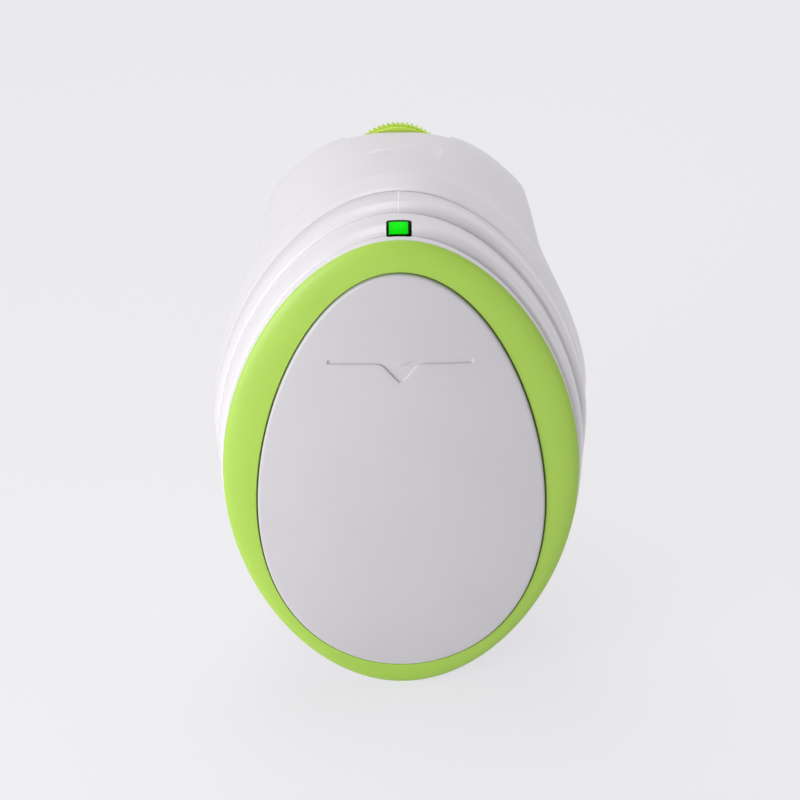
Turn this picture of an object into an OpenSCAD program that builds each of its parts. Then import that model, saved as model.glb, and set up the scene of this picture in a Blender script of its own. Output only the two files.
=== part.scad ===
// Pocket fetal doppler: an egg-shaped face with a stepped collar, a waisted grip
// and a round probe behind. X is the width, Y the depth with the face at -Y, and
// Z runs up the egg. The underside rests on Z = 0. Depths are counted backwards
// from the crown of the battery cover.

/* [Bezel] */
// Width of the green bezel
bezel_w = 62.4; // [61:0.2:66]
// Height of the green bezel
bezel_h = 88.5; // [87:0.5:93]
// Share by which the bezel's ends are drawn in from an ellipse
bezel_draw = 0.075; // [0.05:0.005:0.09]
// Share by which the bezel is wider below its middle than above
bezel_taper = 0.02; // [0.01:0.005:0.03]
// Depth of the bezel's outer edge behind the cover's crown
rim_d = 3.0; // [2.9:0.1:3.2]
// How far the bezel's face rises from its outer to its inner edge
bezel_rise = 1.4; // [1.2:0.1:1.5]
// Width of the ledge that stops the battery cover
ledge_w = 1.3; // [1:0.1:1.6]
// Thickness of that ledge
ledge_t = 1.2; // [1:0.1:1.6]

/* [Battery cover] */
// Width of the bezel at each side of the cover
side_band = 6.3; // [5.6:0.1:6.6]
// Height of the bezel over the cover
top_band = 5.75; // [5.4:0.05:6]
// Height of the bezel under the cover
foot_band = 4.65; // [4.4:0.05:5]
// Share by which the cover is wider below its middle than above
cover_taper = 0.156; // [0.14:0.002:0.16]
// Share by which the cover's ends are fuller than an ellipse's
cover_full = 0.04; // [0.03:0.005:0.06]
// Rise of the cover's crown over its edge
cover_crown = 1.0; // [0.8:0.1:1.1]
// Radius of the cover's rounded edge
cover_round = 0.4; // [0.3:0.05:0.5]
// Thickness of the cover at its edge
cover_wall = 2.4; // [2.2:0.1:2.6]
// Depth of the thumb mark in the cover
mark_depth = 0.3; // [0.2:0.05:0.4]
// Half the length of the thumb mark
mark_half = 12.5; // [11:0.1:14]
// Height of the thumb mark's line above the standing plane
mark_z = 65.25; // [63:0.25:67]

/* [Collar] */
// Length of the collar behind the bezel's outer edge
collar_len = 15.2; // [14.5:0.1:17]
// Length of the level band behind the bezel
band_len = 1.8; // [1.4:0.1:2.2]
// Length of the lower step's rounded riser
riser1_len = 3.8; // [3.2:0.1:4.2]
// Height of the lower step
riser1_h = 1.25; // [1:0.05:1.5]
// Length of the lower step's tread
tread_len = 2.9; // [2.4:0.1:3.2]
// Length of the upper step's rounded riser
riser2_len = 2.2; // [1.8:0.1:2.6]
// Height of the upper step over the lower one's tread
riser2_h = 1.2; // [1:0.05:1.4]
// How far a tread falls behind its crest
tread_fall = 0.12; // [0.05:0.01:0.2]
// Wall of the collar at its front edge
rim_wall = 1.2; // [1:0.05:1.4]
// Depth of the groove between the collar and the body
groove = 0.4; // [0.3:0.05:0.6]
// Share by which collar and body stand out less beside and under the middle
side_fade = 0.42; // [0.3:0.02:0.5]

/* [Body] */
// Wall of the mouldings
wall = 2.0; // [1.8:0.1:2.2]
// How far the body outgrows the bezel's outline
body_out = 2.9; // [2.6:0.1:3.2]
// Length of the body's full egg behind the groove
skirt_len = 6.3; // [5.5:0.1:7.5]
// Radius of the finger scoops where they leave the skirt
scoop_r = 8.0; // [7:0.5:9]
// Width of the grip where the scoops end
grip_w = 50.4; // [49.6:0.2:52]
// Angle at which each side of the grip draws in
grip_angle = 10; // [8:0.5:11]
// Length of the grip behind the skirt
grip_len = 17.8; // [16.8:0.1:19]
// How much fuller than the face's egg the body is at its shoulder's corners
shoulder_swell = 1.4; // [0.8:0.1:1.6]
// Length of the shoulder that turns the egg into the probe's round
shoulder_len = 15.9; // [15:0.1:19]
// Length of the round seat behind the shoulder
seat_len = 2.8; // [2.4:0.1:4]
// Length of the lip that locates the body in the collar
lip_len = 2.0; // [1.6:0.1:2.4]

/* [Probe] */
// Diameter of the probe
probe_dia = 46; // [44.5:0.5:47]
// Height of the probe's axis above the standing plane
probe_z = 48; // [46:0.5:50]
// Thickness of the sealing ring
seal_t = 0.8; // [0.6:0.1:1.2]
// Length of the probe shell's round flange
probe_flange = 2.7; // [2.2:0.1:3.5]
// Rise of the probe's domed face
probe_dome = 1.5; // [1:0.1:2.2]
// Length of the spigot that plugs into the body
spigot_len = 3.4; // [2.6:0.1:3.4]
// Diameter of the pair of half-round crystals
crystal_dia = 24; // [20:0.5:28]
// Thickness of the crystals
crystal_t = 0.8; // [0.6:0.1:1.2]
// Strip that parts the two crystals
crystal_gap = 1.6; // [1:0.2:2.4]
// Thickness of the damping pad behind the crystals
damper_t = 4.0; // [3:0.2:4.6]
// Diameter of the cable from the crystals
cable_dia = 2.2; // [1.8:0.1:2.6]

/* [Thumbwheel] */
// Diameter of the thumbwheel
wheel_dia = 18; // [17.5:0.5:19.5]
// Thickness of the thumbwheel
wheel_t = 2.6; // [2.2:0.1:3]
// Height of the thumbwheel over the body's crown
wheel_out = 1.0; // [0.6:0.1:1.3]
// Number of teeth
wheel_teeth = 62; // [46:4:66]
// Depth of the teeth
tooth_depth = 0.8; // [0.5:0.05:1]
// Thickness of the smooth shoulder before the teeth
shoulder_t = 0.8; // [0.6:0.1:1]
// Drop of that shoulder under the teeth's tips
shoulder_drop = 0.25; // [0.2:0.05:0.5]
// Half the length of the slot in the body
slot_half = 9.5; // [9.4:0.1:11]
// Clearance between the thumbwheel and the slot's sides
slot_gap = 0.3; // [0.25:0.05:0.5]
// Diameter of the volume control's body
pot_dia = 9.2; // [8:0.2:10]
// Length of the volume control's body
pot_len = 3.4; // [3:0.1:4]
// Diameter of the spindle
spindle_dia = 3.0; // [2.6:0.1:3.4]
// Diameter of the head of the wheel's screw
hub_screw = 4.2; // [4:0.1:4.8]

/* [Lamp] */
// Width of the lamp window
window_w = 4.2; // [3.6:0.1:5]
// Diameter of the lamp
lamp_dia = 3.0; // [2.8:0.1:3.2]
// Length of the lamp's body under its dome
lamp_len = 3.0; // [2.4:0.1:4]
// Thickness of the lamp's base
lamp_base = 1.0; // [0.9:0.1:1.2]
// Gap between the lamp's base and the battery tray
lamp_room = 0.3; // [0.2:0.05:0.5]

/* [Battery] */
// Width of the battery
cell_w = 26.2; // [25.6:0.1:26.6]
// Thickness of the battery
cell_t = 17.2; // [16.6:0.1:17.6]
// Height of the battery without its terminals
cell_h = 46.0; // [45:0.5:47]
// Height of the terminals
stud_h = 2.2; // [2:0.1:2.6]
// Height of the battery's foot above the standing plane
cell_z = 15.5; // [15:0.1:16]
// Distance between the terminals
stud_pitch = 12.7; // [12.2:0.1:13]
// Thickness of the clip on the terminals
clip_t = 4.2; // [3.8:0.1:5]
// Depth of the clip, front to back
clip_w = 12.4; // [11:0.2:13]
// Diameter of the battery's leads
lead_dia = 1.3; // [1.1:0.1:1.5]
// Wall of the battery tray
tray_wall = 1.4; // [1.2:0.1:1.5]

/* [Board] */
// Thickness of the circuit board
board_t = 1.6; // [1.2:0.1:2]
// Gap between the board's edge and the body's wall
board_gap = 1.2; // [0.8:0.1:1.6]
// Height of the board's foot above the standing plane
board_foot = 10; // [8:0.5:12]
// Side of the largest chip
chip_w = 10; // [7:0.5:12]
// Thickness of the chips
chip_t = 1.6; // [1:0.1:2]
// Diameter of the largest capacitor
can_dia = 6.3; // [5:0.1:7]
// Height of the capacitors
can_h = 7; // [5:0.5:8]

/* [Earphone sockets] */
// Diameter of the plug's bore
jack_bore = 3.6; // [3.5:0.05:3.7]
// Depth of the plug's bore
jack_depth = 14; // [12:0.5:14.5]
// Diameter of the socket's nose
jack_nose = 6.0; // [5.6:0.1:6.4]
// Height of the sockets above the standing plane
jack_z = 68; // [66.5:0.5:69]

/* [Screws] */
// Diameter of the case screws
screw_dia = 2.0; // [1.8:0.1:2.2]
// Diameter of their heads
head_dia = 3.8; // [3.4:0.1:4]
// Distance of the screws from the middle
screw_x = 18.0; // [17.8:0.1:18.2]
// Heights of the lower and upper pair of screws
screw_z = [27, 58];
// Diameter of the posts around them
post_dia = 5.2; // [5:0.1:5.4]

/* [Fits] */
// Gap around the battery cover
cover_gap = 0.25; // [0.2:0.01:0.3]
// Gap between mouldings that plug together
plug_gap = 0.1; // [0.05:0.01:0.15]
// Radial play of a shaft in its bore
play = 0.05; // [0.03:0.01:0.08]

/* [Fineness] */
// Points round a moulded outline, a quarter at a time
quarter = 16; // [12:1:18]

/* [Hidden] */
$fn = 48;

white = [0.90, 0.89, 0.90];
green = [0.66, 0.80, 0.35];
points = 4 * quarter;
side_points = round(points * 0.14);
arc_points = points / 2 - side_points;

// Stations in depth
groove_d = rim_d + collar_len;
skirt_d = groove_d + skirt_len;
shoulder_d = skirt_d + grip_len;
body_d = shoulder_d + shoulder_len + seat_len;
seal_d = body_d + seal_t;
face_d = seal_d + probe_flange;
depth = face_d + probe_dome;
skirt_out = body_out - 0.65;
tip_len = 0.5;

// Cover, inside the bezel's bands
cover_w = bezel_w - 2 * side_band;
cover_h = bezel_h - top_band - foot_band;
cover_mid = foot_band + cover_h / 2;

// Battery and tray
edge_d = cover_crown + cover_round;
stop_d = edge_d + cover_wall - cover_round;
tray_d = stop_d + ledge_t;
tray_flange = 1.5;
flange_out = 1 - ledge_w;
tongue_d = tray_d + tray_flange + plug_gap;
cell_room = 0.4;
cell_d = tray_d + cell_room;
tray_in = cell_w + 2 * cell_room;
tray_floor = cell_d + cell_t + cell_room;
tray_back = tray_floor + tray_wall;
tray_low = cell_z - cell_room;
clip_z = cell_z + cell_h + 0.4;
clip_top = clip_z + clip_t;
tray_high = clip_top + 3.6 * lead_dia;
latch_w = 5;
latch_t = 1.2;
latch_z = [cover_mid - cover_h / 2 + 6, cover_mid + cover_h / 2 - 5.5];

// Thumbwheel, volume control and board
crown_z = bezel_h + body_out;
wheel_r = wheel_dia / 2;
wheel_z = crown_z + wheel_out - wheel_r;
slot_d = shoulder_d - 0.6;
wheel_d = slot_d + slot_gap;
pot_d = wheel_d - 0.6 - pot_len;
board_d = pot_d - board_t;
spindle_end = wheel_d + wheel_t - 0.2;
board_top = crown_z - wall - board_gap;

// Lamp and window
window_d = rim_d + band_len;
window_len = riser1_len - 2 * plug_gap;
tongue_z = bezel_h - rim_wall;
lamp_z = tray_high + tray_wall + lamp_room + lamp_base;
stem_d = tongue_d + tip_len + 0.3;
lamp_d = stem_d + lamp_dia / 2;
base_out = lamp_dia / 2 + 0.2;

// Sockets
jack_t = 6.6;
jack_d = pot_d + jack_t / 2;
jack_w = 7.0;
jack_tip = waist(jack_d, 0) + 0.8;

// Screws and posts
head_t = 1.2;
boss_end = shoulder_d + 8.5;
screw_end = shoulder_d + 5;
rib_t = 1.4;
rib_end = waist(shoulder_d, 0) - wall / 2;

// Share of its outset that a skin keeps at the angle a: all above, less beside and below
function kept(a) = 1 - side_fade * ease((13 - asin(sin(a))) / 20);

// Outlines: points at the angle a, moved out by an outset and set in by i all round
function egg(w, h, taper, draw, mid, a) = [
    w / 2 * cos(a) * (1 - taper * sin(a) - draw * pow(sin(a), 2)),
    mid + h / 2 * sin(a)
];
function head(out, a, i = 0) =
    let (side = (out > 0 ? out * kept(a) : out) - i)
    egg(bezel_w + 2 * side, bezel_h + 2 * (out - i), bezel_taper, bezel_draw, bezel_h / 2, a);
function lid(out, a) =
    egg(cover_w + 2 * out, cover_h + 2 * out, cover_taper, -cover_full, cover_mid, a);
function blend(p, q, u) = p + (q - p) * u;
function ease(u) =
    let (v = max(0, min(1, u)))
    v * v * (3 - 2 * v);
function ring_angle(j) = 360 * j / points;

// A point of an outline, put at a depth and kept above a floor
function placed(p, d, low) = [p[0], d - depth / 2, max(p[1], low)];
function head_ring(out, d, low = 0) =
    [for (j = [0:points - 1]) placed(head(out, ring_angle(j)), d, low)];
function lid_ring(out, d) =
    [for (j = [0:points - 1]) placed(lid(out, ring_angle(j)), d, 0)];
function bezel_ring(u, d) = [
    for (j = [0:points - 1])
        placed(blend(head(0, ring_angle(j)), lid(cover_gap, ring_angle(j)), u), d, 0)
];

// Half width of the grip at a depth, on a wall set in by i from the outside
function waist(d, i) =
    let (
        r = scoop_r + i,
        mid_d = skirt_d + scoop_r,
        mid_x = grip_w / 2 + scoop_r * cos(grip_angle),
        end_d = mid_d - r * sin(grip_angle),
        end_x = mid_x - r * cos(grip_angle)
    )
    d <= mid_d - r ? bezel_w
        : d < end_d ? mid_x - sqrt(r * r - pow(mid_d - d, 2))
        : end_x - (d - end_d) * tan(grip_angle);

// How far the shoulder has turned from the egg, 0, to the probe's round, 1
function turn(d) = ease((d - shoulder_d) / shoulder_len);

// A point of the body's section at the angle a, fuller than the head at its upper corners
function section(out, d, i, a) =
    let (
        e = asin(sin(a)),
        back = ease((d - skirt_d) / grip_len)
    )
    head(out + shoulder_swell * back * ease((90 - e) / 30) * ease(e / 30), a, i);

// The angle on a section at which its half width comes down to w
function corner(out, d, i, w, way, low = 8, high = 89, tries = 18) =
    tries == 0 ? (low + high) / 2
        : let (a = (low + high) / 2)
            abs(section(out, d, i, way * a)[0]) > w
                ? corner(out, d, i, w, way, a, high, tries - 1)
                : corner(out, d, i, w, way, low, a, tries - 1);

// Angles round a section: right side, top, left side, bottom
function spread(j, top, bottom) =
    let (
        half = side_points + arc_points,
        s = j % half,
        left = j >= half
    )
    s < side_points
        ? (left ? 180 + blend(-top, bottom, s / side_points)
            : blend(-bottom, top, s / side_points))
        : (left ? blend(180 + bottom, 360 - bottom, (s - side_points) / arc_points)
            : blend(top, 180 - top, (s - side_points) / arc_points));

// One section of the body: the head's egg, cut by the scoops, turning round
function body_ring(out, d, i = 0) =
    let (
        w = waist(d, i),
        top = corner(out, d, i, w, 1),
        bottom = corner(out, d, i, w, -1),
        r = probe_dia / 2 - i,
        t = turn(d)
    )
    [
        for (j = [0:points - 1])
            let (
                p = section(out, d, i, spread(j, top, bottom)),
                c = spread(j, 45, 45),
                cut = [max(-w, min(w, p[0])), max(i, p[1])]
            )
            placed(blend(cut, [r * cos(c), probe_z + r * sin(c)], t), d, i)
    ];

// The head's outline with the points spread as on the body's sections
function head_like(out, d, low = 0) =
    [for (j = [0:points - 1]) placed(head(out, spread(j, 8, 8)), d, low)];

// Skins rings of equal length into a solid, open ends capped or joined in a loop
module loft(rings, loop = false) {
    n = len(rings[0]);
    m = len(rings);
    sides = [
        for (i = [0:(loop ? m : m - 1) - 1], j = [0:n - 1])
            let (
                a = i * n + j,
                b = i * n + (j + 1) % n,
                c = ((i + 1) % m) * n + (j + 1) % n,
                e = ((i + 1) % m) * n + j
            )
            each [[a, b, c], [a, c, e]]
    ];
    front = [for (j = [n - 1:-1:0]) j];
    back = [for (j = [0:n - 1]) (m - 1) * n + j];
    polyhedron([for (r = rings) each r], loop ? sides : concat(sides, [front, back]));
}

// Places children with their Z axis running backwards along the depth
module at(x, d, z) {
    translate([x, d - depth / 2, z]) rotate([-90, 0, 0]) children();
}

// A block from depth d1 to d2, centred on x
module block(x, w, d1, d2, z1, z2) {
    translate([x - w / 2, d1 - depth / 2, z1]) cube([w, d2 - d1, z2 - z1]);
}

// A plate of the given outline from depth d1 to d2
module plate(outline, d1, d2) {
    translate([0, d2 - depth / 2, 0]) rotate([90, 0, 0])
        linear_extrude(height = d2 - d1) polygon(outline);
}

// A lead swept along a route in one plane: hand-chosen [depth, height] points
function curve(p) = [
    for (i = [0:len(p) - 2])
        let (n = i == 0 || i == len(p) - 2 ? 1 : 4)
        for (k = [0:n - 1])
        let (
            a = p[max(i - 1, 0)],
            b = p[i],
            c = p[i + 1],
            e = p[min(i + 2, len(p) - 1)],
            u = k / n
        )
        b + (c - a) * u / 2 + (2 * a - 5 * b + 4 * c - e) * u * u / 2
            + (3 * b - a - 3 * c + e) * u * u * u / 2
];
module lead(x, route, dia) {
    path = concat(curve(route), [route[len(route) - 1]]);
    last = len(path) - 1;
    loft([
        for (i = [0:last])
            let (
                from = i == 1 ? path[0] : path[max(i - 1, 0)],
                to = path[min(i + 1, last)],
                ends = i == 0 ? route[1] - route[0]
                    : i == last ? path[last] - route[len(route) - 2] : to - from,
                t = ends / norm(ends)
            )
            [
                for (k = [0:7])
                    [
                        x + dia / 2 * cos(45 * k),
                        path[i][0] - depth / 2 - dia / 2 * sin(45 * k) * t[1],
                        path[i][1] + dia / 2 * sin(45 * k) * t[0]
                    ]
            ]
    ]);
}

// Repeats children at the four case screws
module at_screws(d) {
    for (x = [-screw_x, screw_x], z = screw_z) at(x, d, z) children();
}

// Grip, shoulder and probe seat: one shell, open towards the collar and the probe
module rear_housing() {
    butt = skirt_out - groove;
    lip_t = 1.3;
    lip_low = wall + plug_gap;
    scoop = [for (u = [0.006, 0.05, 0.16, 0.34, 0.6, 0.83]) skirt_d + u * scoop_r];
    turns = [for (u = [0.06:0.0783:1]) shoulder_d + u * shoulder_len];
    inner_scoop = [
        for (u = [1, 0.75, 0.5, 0.3, 0.14, 0.03])
            skirt_d - wall + u * (scoop_r + wall)
    ];
    color(white) difference() {
        union() {
            loft(concat(
                [head_like(butt, groove_d), head_like(skirt_out, groove_d + 0.3)],
                [body_ring(blend(skirt_out, body_out, 0.6), groove_d + skirt_len / 2)],
                [body_ring(body_out, skirt_d - 0.1)],
                [for (d = scoop) body_ring(body_out, d)],
                [for (u = [0, 0.5, 1]) body_ring(body_out, blend(skirt_d + scoop_r, shoulder_d, u))],
                [for (d = turns) body_ring(body_out, d)],
                [body_ring(body_out, body_d)],
                [body_ring(body_out, body_d, wall)],
                [for (u = [5:-1:1]) body_ring(body_out, shoulder_d + u * shoulder_len / 6, wall)],
                [body_ring(body_out, shoulder_d, wall)],
                [for (d = inner_scoop) body_ring(body_out, d, wall)],
                [head_like(-lip_t, groove_d + 1, lip_low + lip_t)],
                [head_like(-lip_t, groove_d - lip_len, lip_low + lip_t)],
                [head_like(-plug_gap, groove_d - lip_len, lip_low), head_like(-plug_gap, groove_d, lip_low)]
            ), loop = true);
            at_screws(pot_d) cylinder(d = post_dia, h = boss_end - pot_d);
            for (side = [-1, 1], z = screw_z)
                block(side * (screw_x + rib_end) / 2, rib_end - screw_x, pot_d, shoulder_d,
                    z - rib_t / 2, z + rib_t / 2);
        }
        at_screws(pot_d - 1) cylinder(d = screw_dia + 2 * play, h = screw_end - pot_d + 2);
        block(0, 2 * slot_half, slot_d, wheel_d + wheel_t + slot_gap, wheel_z + 1, crown_z + 2);
        at(0, slot_d, wheel_z) cylinder(r = wheel_r + slot_gap, h = wheel_t + 2 * slot_gap);
        for (side = [-1, 1])
            translate([side * grip_w / 2, jack_d - depth / 2, jack_z]) rotate([0, 90, 0])
                cylinder(d = jack_nose + 2 * plug_gap, h = grip_w / 4, center = true);
    }
}

// Two rounded steps round the head, with the lamp's sleeve inside the crown
module collar_housing() {
    crest1 = window_d + riser1_len;
    foot2 = crest1 + tread_len;
    crest2 = foot2 + riser2_len;
    low = riser1_h - tread_fall;
    high = low + riser2_h;
    rise = [0.1, 0.3, 0.62, 1];
    color(white) difference() {
        union() {
            loft(concat(
                [head_ring(0, rim_d), head_ring(0, window_d)],
                [for (u = rise) head_ring(riser1_h * sin(acos(1 - u)), window_d + u * riser1_len)],
                [head_ring(low, foot2)],
                [for (u = rise) head_ring(low + riser2_h * sin(acos(1 - u)), foot2 + u * riser2_len)],
                [head_ring(high - tread_fall, groove_d - 0.25)],
                [head_ring(skirt_out - groove, groove_d)],
                [head_ring(plug_gap, groove_d, wall)],
                [head_ring(plug_gap, groove_d - lip_len - 0.2, wall)],
                [head_ring(-rim_wall / 2, groove_d - lip_len - 1.2, wall)],
                [head_ring(-rim_wall / 2, tongue_d + 2, wall)],
                [head_ring(-rim_wall, tongue_d + 1, wall)],
                [head_ring(-rim_wall, rim_d, wall)]
            ), loop = true);
            block(0, window_w + 2, stem_d - 0.2, lamp_d + lamp_dia / 2 + 1, lamp_z, bezel_h);
        }
        block(0, window_w + 2 * plug_gap, window_d, crest1, tongue_z + 0.1, crown_z);
        block(0, window_w + 2 * plug_gap, stem_d - 0.3, crest1, lamp_z + lamp_len, crown_z);
        translate([0, lamp_d - depth / 2, lamp_z - 1])
            cylinder(d = lamp_dia + 2 * play, h = lamp_len + lamp_dia / 2 + 1.2);
    }
}

// Green ring, crowned towards the cover, with the cover's ledge and a tongue behind
module bezel() {
    top = rim_d - bezel_rise;
    color(green) loft([
        bezel_ring(0, rim_d),
        bezel_ring(0.05, rim_d - 0.3 * bezel_rise),
        bezel_ring(0.15, rim_d - 0.54 * bezel_rise),
        bezel_ring(0.4, rim_d - 0.8 * bezel_rise),
        bezel_ring(0.7, rim_d - 0.94 * bezel_rise),
        bezel_ring(0.95, top),
        bezel_ring(1, top + 0.2),
        bezel_ring(1, stop_d),
        lid_ring(-ledge_w, stop_d),
        lid_ring(-ledge_w, tray_d),
        lid_ring(flange_out + plug_gap, tray_d),
        lid_ring(flange_out + plug_gap, tongue_d),
        head_ring(-rim_wall - plug_gap, tongue_d, wall + plug_gap),
        head_ring(-rim_wall - plug_gap, rim_d, wall + plug_gap)
    ], loop = true);
}

// A ring of the cover's dome, at a share s of the way from its crown to its edge
function crown_ring(s) = [
    for (j = [0:points - 1])
        placed(blend([0, cover_mid], lid(-cover_round, ring_angle(j)), s), cover_crown * s * s, 0)
];

// The cover's solid, before its thumb mark is cut
module cover_blank() {
    loft(concat(
        [for (s = [0.15, 0.4, 0.6, 0.8, 0.92]) crown_ring(s)],
        [
            lid_ring(-cover_round, cover_crown),
            lid_ring(-cover_round * 0.3, cover_crown + cover_round * 0.3),
            lid_ring(0, edge_d),
            lid_ring(0, stop_d)
        ]
    ));
}

// Domed egg-shaped cover with a thumb mark, a dished back and three latch tongues
module battery_cover() {
    pocket_d = stop_d - 0.8;
    mark = [
        [-mark_half, 0.32], [-1.9, 0.32], [0, -0.98], [1.9, 0.32], [mark_half, 0.32],
        [mark_half, -0.32], [3.4, -0.32], [0.5, -4.1], [-0.5, -4.1], [-3.4, -0.32],
        [-mark_half, -0.32]
    ];
    color(white) {
        difference() {
            cover_blank();
            difference() {
                plate([for (p = mark) p + [0, mark_z]], -1, edge_d + 0.4);
                translate([0, mark_depth, 0]) cover_blank();
            }
            plate([for (j = [0:points - 1]) lid(-3, ring_angle(j))], pocket_d, stop_d + 1);
        }
        for (x = [-7, 7])
            block(x, latch_w, pocket_d, tongue_d + tip_len, latch_z[0] - latch_t, latch_z[0]);
        block(0, 1.6 * latch_w, pocket_d, tongue_d + tip_len, latch_z[1], latch_z[1] + latch_t);
    }
}

// Tray for the battery, on a flange behind the bezel's ledge, with screw tubes
module battery_tray() {
    slack = 0.2;
    color([0.88, 0.88, 0.89]) difference() {
        union() {
            plate([for (j = [0:points - 1]) lid(flange_out, ring_angle(j))], tray_d, tray_d + tray_flange);
            block(0, tray_in + 2 * tray_wall, tray_d, tray_back,
                tray_low - tray_wall, tray_high + tray_wall);
            at_screws(tray_d) cylinder(d = post_dia, h = board_d - tray_d);
        }
        block(0, tray_in, tray_d - 1, tray_floor, tray_low, tray_high);
        block(0, 12, tray_floor - 1, tray_back + 1, tray_high - 4, tray_high);
        at_screws(tray_d - 1) cylinder(d = screw_dia + 0.4, h = board_d - tray_d + 2);
        for (x = [-7, 7])
            block(x, latch_w + 2 * slack, tray_d - 1, tongue_d + 2,
                latch_z[0] - latch_t - slack, latch_z[0] + slack);
        block(0, 1.6 * latch_w + 2 * slack, tray_d - 1, tongue_d + 2,
            latch_z[1] - slack, latch_z[1] + latch_t + slack);
    }
}

// Nine volt block with its two terminals
module battery() {
    mid_d = cell_d + cell_t / 2;
    color([0.25, 0.27, 0.30]) {
        block(0, cell_w, cell_d, cell_d + cell_t, cell_z, cell_z + cell_h);
        translate([-stud_pitch / 2, mid_d - depth / 2, cell_z + cell_h])
            cylinder(d = 5.8, h = stud_h);
        translate([stud_pitch / 2, mid_d - depth / 2, cell_z + cell_h])
            cylinder(d = 8.2, h = stud_h, $fn = 6);
    }
}

// Moulded clip that snaps over both terminals
module battery_clip() {
    mid_d = cell_d + cell_t / 2;
    color([0.12, 0.12, 0.13]) difference() {
        block(0, 2 * stud_pitch, mid_d - clip_w / 2, mid_d + clip_w / 2, clip_z, clip_top);
        for (side = [-1, 1])
            translate([side * stud_pitch / 2, mid_d - depth / 2, clip_z - 1])
                cylinder(d = 9, h = stud_h + 1.2);
    }
}

// Routes of the leads: hand-chosen points between what they join
function clip_route() =
    let (mid_d = cell_d + cell_t / 2, rise = 1.7 * lead_dia, drop = 0.8 * lead_dia)
    [
        [mid_d, clip_top], [mid_d, clip_top + 0.7 * lead_dia], [mid_d + 1.5 * lead_dia, clip_top + rise],
        [tray_back + rise, clip_top + rise], [board_d - 3 * lead_dia, clip_top - drop],
        [board_d, clip_top - drop]
    ];
module red_lead() {
    color([0.75, 0.12, 0.10]) lead(-2.7 * lead_dia, clip_route(), lead_dia);
}
module black_lead() {
    color([0.10, 0.10, 0.10]) lead(2.7 * lead_dia, clip_route(), lead_dia);
}

// Circuit board that follows the body's wall, with holes for the case screws
module main_board() {
    outline = body_ring(body_out, pot_d, wall + board_gap);
    color([0.10, 0.35, 0.20]) difference() {
        plate([for (p = outline) [p[0], max(p[2], board_foot)]], board_d, pot_d);
        at_screws(board_d - 1) cylinder(d = screw_dia + 0.4, h = board_t + 2);
    }
}

// A chip at a share of the board's height
module chip(x, w, h, t, share) {
    z = blend(board_foot, board_top, share);
    block(x, w, board_d - t, board_d, z - h / 2, z + h / 2);
}

// Chips on the board's front
module board_chips() {
    color([0.14, 0.14, 0.15]) {
        chip(0, chip_w, chip_w, chip_t, 0.42);
        chip(-0.1 * chip_w, 0.6 * chip_w, 0.5 * chip_w, chip_t, 0.22);
        chip(0.8 * chip_w, 0.5 * chip_w, 0.5 * chip_w, chip_t, 0.57);
        chip(-0.9 * chip_w, 0.4 * chip_w, 0.8 * chip_w, 1.7 * chip_t, 0.51);
    }
}

// A capacitor at a share of the board's height
module can(x, dia, h, share) {
    at(x, pot_d, blend(board_foot, board_top, share)) cylinder(d = dia, h = h);
}

// Capacitors standing on the board's back
module board_capacitors() {
    color([0.20, 0.22, 0.35]) {
        can(-1.6 * can_dia, can_dia, can_h, 0.43);
        can(-1.6 * can_dia, 0.8 * can_dia, can_h, 0.31);
        can(0.2 * can_dia, 0.8 * can_dia, 0.7 * can_h, 0.61);
    }
}

// Round volume control with the switch, on the board's back
module volume_control() {
    color([0.30, 0.30, 0.32]) difference() {
        at(0, pot_d, wheel_z) cylinder(d = pot_dia, h = pot_len);
        at(0, pot_d + 0.8, wheel_z) cylinder(d = spindle_dia + 2 * play, h = pot_len);
    }
}

// Spindle that carries the thumbwheel
module volume_spindle() {
    color("silver") difference() {
        at(0, pot_d + 0.9, wheel_z) cylinder(d = spindle_dia, h = spindle_end - pot_d - 0.9);
        at(0, wheel_d - 0.5, wheel_z) cylinder(d = 1.6, h = 10);
    }
}

// Thumbwheel, toothed behind a smooth shoulder
module volume_wheel() {
    teeth = [
        for (k = [0:2 * wheel_teeth - 1])
            let (r = wheel_r - (k % 2) * tooth_depth, a = 90 + 180 * k / wheel_teeth)
            [r * cos(a), r * sin(a)]
    ];
    color(green) difference() {
        union() {
            at(0, wheel_d, wheel_z) cylinder(r = wheel_r - shoulder_drop, h = shoulder_t);
            at(0, wheel_d + shoulder_t - 0.1, wheel_z)
                linear_extrude(height = wheel_t - shoulder_t + 0.1) polygon(teeth);
        }
        at(0, wheel_d - 1, wheel_z) cylinder(d = spindle_dia + 2 * play, h = wheel_t + 2);
        at(0, wheel_d + wheel_t - 0.8, wheel_z) difference() {
            cylinder(d = wheel_dia - 5, h = 1);
            cylinder(d = hub_screw + 2.2, h = 1);
        }
    }
}

// Screw that holds the thumbwheel on its spindle
module wheel_screw() {
    color("silver") {
        at(0, wheel_d + wheel_t, wheel_z) cylinder(d = hub_screw, h = 0.9);
        at(0, wheel_d + 0.2, wheel_z) cylinder(d = 1.5, h = wheel_t - 0.2);
    }
}

// Round lamp on a square base, pointing up at its window
module status_lamp() {
    color([0.30, 0.85, 0.35]) {
        block(0, 2 * base_out, lamp_d - base_out, lamp_d + base_out, lamp_z - lamp_base, lamp_z);
        translate([0, lamp_d - depth / 2, lamp_z]) {
            cylinder(d = lamp_dia, h = lamp_len);
            translate([0, 0, lamp_len]) intersection() {
                sphere(d = lamp_dia);
                cylinder(d = lamp_dia, h = lamp_dia);
            }
        }
    }
}

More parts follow.
